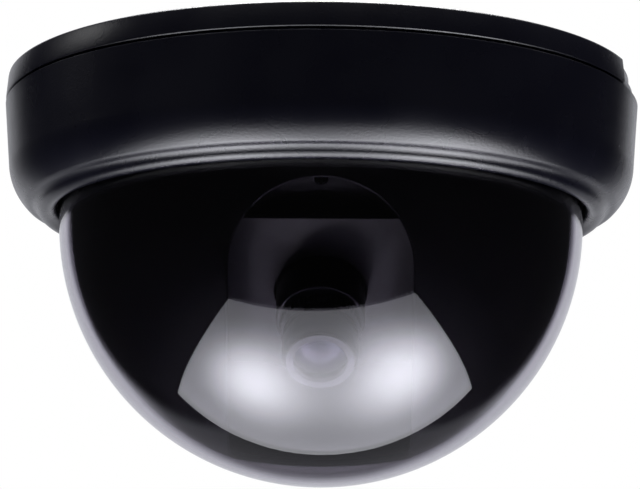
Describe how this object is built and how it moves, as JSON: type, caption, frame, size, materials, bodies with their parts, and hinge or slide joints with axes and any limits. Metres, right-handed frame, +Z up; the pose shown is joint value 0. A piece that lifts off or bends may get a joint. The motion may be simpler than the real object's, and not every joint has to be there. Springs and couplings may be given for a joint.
{
  "type": "ceiling dome security camera",
  "caption": "Round black ceiling-mount dome camera: base plate, twist-off cover with a smoked dome, and a pan, tilt and rotate board camera behind a slotted liner.",
  "frame": {"origin": "centre of the flat ceiling face of the base plate", "axes": "+Z up out of the ceiling face, on the dome's axis; the lens looks towards -Y and down; +X is the side with the cable notch"},
  "size_m": [0.12, 0.12, 0.0769],
  "materials": {
    "housing_plastic": "fine-grained satin black ABS",
    "inner_plastic": "dull black moulding",
    "rubber": "soft black rubber",
    "smoked_dome": "polished smoked polycarbonate",
    "optical_glass": "coated lens glass",
    "steel": "zinc-plated",
    "black_steel": "black oxide screws",
    "brass": "turned brass",
    "circuit_board": "green solder mask",
    "module_plastic": "dark grey satin",
    "lens_trim": "satin grey anodised",
    "sensor_package": "black package with a glass window",
    "connector_nylon": "natural nylon",
    "capacitor_can": "sleeved aluminium can"
  },
  "bodies": {
    "base": {"base_plate": "housing_plastic", "cable_notch_plug": "housing_plastic", "cable_grommet": "rubber", "pan_washer": "brass", "pan_screw": "steel"},
    "seal": {"cover_seal": "rubber"},
    "cover": {"cover_ring": "housing_plastic", "dome_gasket": "rubber", "dome_bubble": "smoked_dome", "dome_clamp_ring": "inner_plastic", "clamp_screw_1": "black_steel", "clamp_screw_2": "black_steel", "clamp_screw_3": "black_steel"},
    "pan_body": {"turntable": "inner_plastic", "bracket_arm_left": "inner_plastic", "bracket_arm_right": "inner_plastic", "bracket_screw_1": "black_steel", "bracket_screw_2": "black_steel", "bracket_screw_3": "black_steel", "bracket_screw_4": "black_steel", "inner_liner": "inner_plastic", "liner_screw_1": "black_steel", "liner_screw_2": "black_steel", "liner_screw_3": "black_steel", "liner_screw_4": "black_steel"},
    "tilt_body": {"tilt_cradle": "inner_plastic", "rotor_retainer": "inner_plastic", "retainer_screw_1": "black_steel", "retainer_screw_2": "black_steel", "tilt_washer_left": "brass", "tilt_washer_right": "brass", "tilt_screw_left": "black_steel", "tilt_screw_right": "black_steel"},
    "camera_module": {"module_front_plate": "module_plastic", "module_rotor": "inner_plastic", "sensor_board": "circuit_board", "image_sensor": "sensor_package", "ir_filter": "optical_glass", "lens_holder": "inner_plastic", "holder_screw_1": "steel", "holder_screw_2": "steel", "module_screw_1": "black_steel", "module_screw_2": "black_steel", "module_screw_3": "black_steel", "module_screw_4": "black_steel", "rear_board": "circuit_board", "board_post_1": "brass", "board_post_2": "brass", "board_post_3": "brass", "board_post_4": "brass", "power_connector": "connector_nylon", "video_connector": "connector_nylon", "capacitor": "capacitor_can"},
    "optics": {"front_glass": "optical_glass", "rear_glass": "optical_glass", "lens_front_ring": "lens_trim"},
    "barrel": {"lens_barrel": "inner_plastic"},
    "lock_ring": {"lens_lock_ring": "inner_plastic"}
  },
  "joints": [
    {"name": "cover_pull", "type": "slide", "parent": "base", "child": "seal", "axis": [0, 0, -1], "range_m": [0, 0.06]},
    {"name": "cover_twist", "type": "hinge", "parent": "seal", "child": "cover", "pos_m": [0, 0, -0.01], "axis": [0, 0, -1], "range_deg": [0, 20]},
    {"name": "pan", "type": "hinge", "parent": "base", "child": "pan_body", "pos_m": [0, 0, -0.006], "axis": [0, 0, 1], "range_deg": [-175, 175]},
    {"name": "tilt", "type": "hinge", "parent": "pan_body", "child": "tilt_body", "pos_m": [0, 0, -0.037], "axis": [1, 0, 0], "range_deg": [-50, 40]},
    {"name": "rotate", "type": "hinge", "parent": "tilt_body", "child": "camera_module", "pos_m": [0, 0, -0.037], "axis": [0, -0.6428, -0.766], "range_deg": [-170, 170]},
    {"name": "focus_travel", "type": "slide", "parent": "camera_module", "child": "optics", "axis": [0, -0.6428, -0.766], "range_m": [-0.0005, 0.0005]},
    {"name": "focus_turn", "type": "hinge", "parent": "optics", "child": "barrel", "pos_m": [0, 0, -0.037], "axis": [0, -0.6428, -0.766], "range_deg": [-360, 360]},
    {"name": "lock_turn", "type": "hinge", "parent": "barrel", "child": "lock_ring", "pos_m": [0, 0, -0.037], "axis": [0, -0.6428, -0.766], "range_deg": [0, 180]}
  ],
  "couplings": [
    {"joint": "focus_turn", "follows": "focus_travel", "rad_per_m": 12566}
  ]
}
